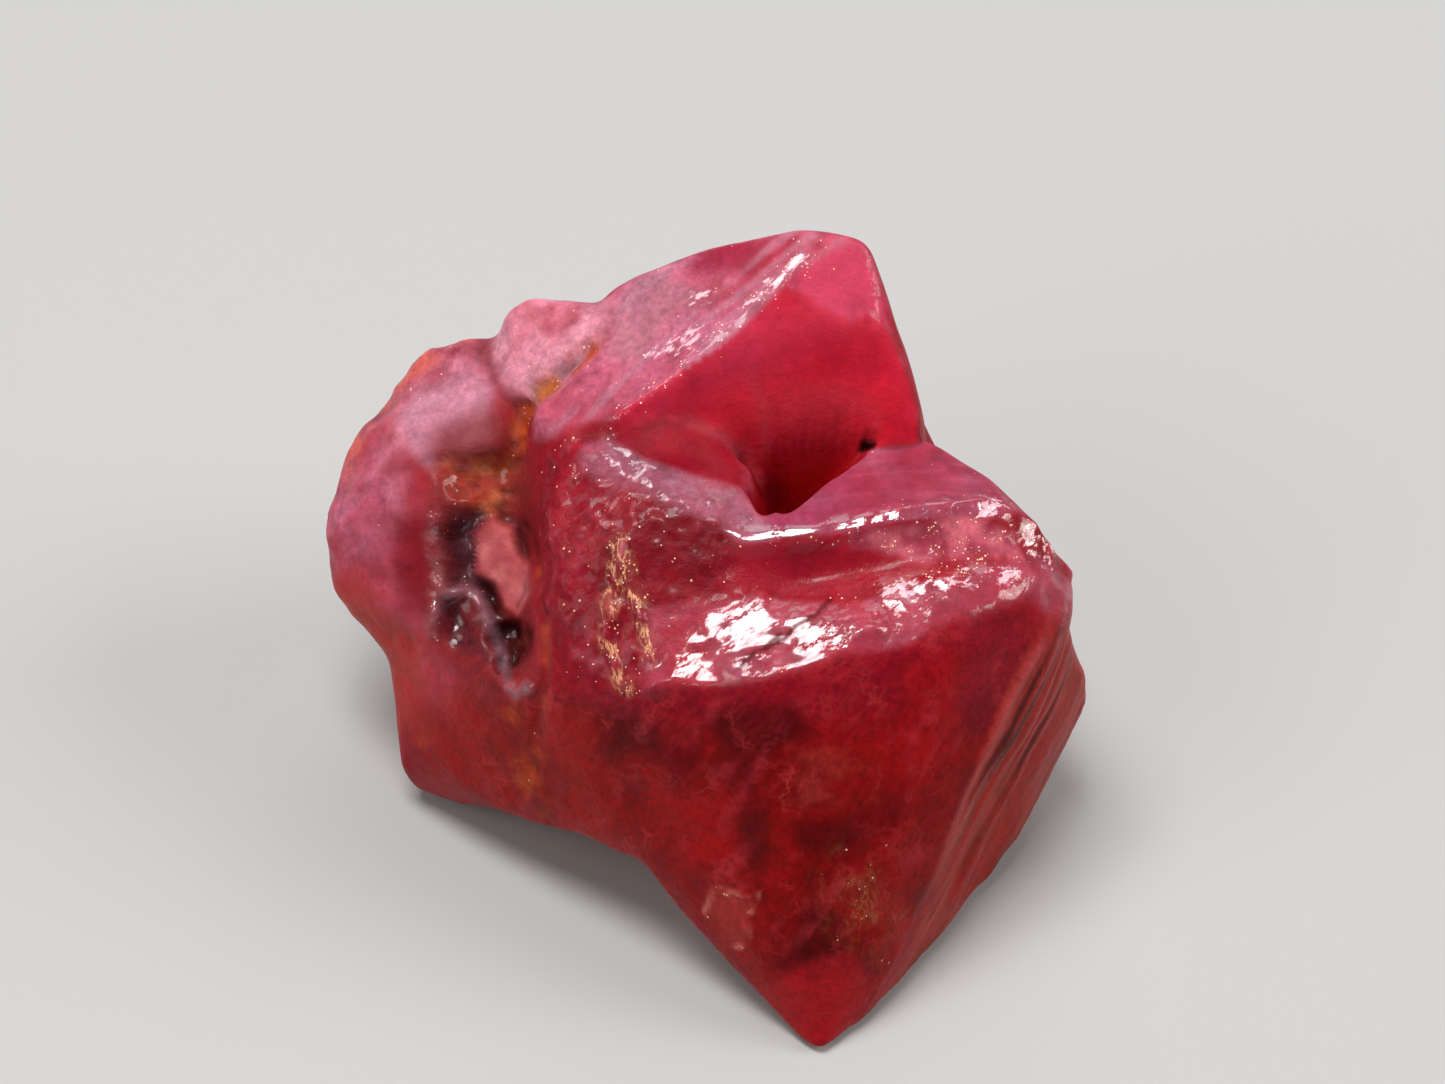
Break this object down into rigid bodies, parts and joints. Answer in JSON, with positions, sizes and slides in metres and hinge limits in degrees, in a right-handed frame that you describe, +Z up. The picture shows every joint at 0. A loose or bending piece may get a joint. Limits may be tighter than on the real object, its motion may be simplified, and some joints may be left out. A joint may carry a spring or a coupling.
{
  "type": "spinel crystal",
  "caption": "Rough, broken and water-worn red spinel crystal: a wedge with a ledge and an arm, a sloping upper block, a rounded side lobe and a deep notch, lying on a flat fracture face.",
  "frame": {"origin": "centre of the bounding box in plan, at the resting face", "axes": "+Z up from the resting face, -Y towards the wedge's tip at the front, +X towards the arm's end, with the rounded lobe at -X"},
  "size_m": [0.034, 0.0302, 0.024],
  "materials": {
    "spinel": "translucent crimson crystal, glassy on its faces and frosted mauve where worn, with veils and rust stains"
  },
  "bodies": {
    "root": {"spinel_crystal": "spinel"}
  },
  "joints": []
}
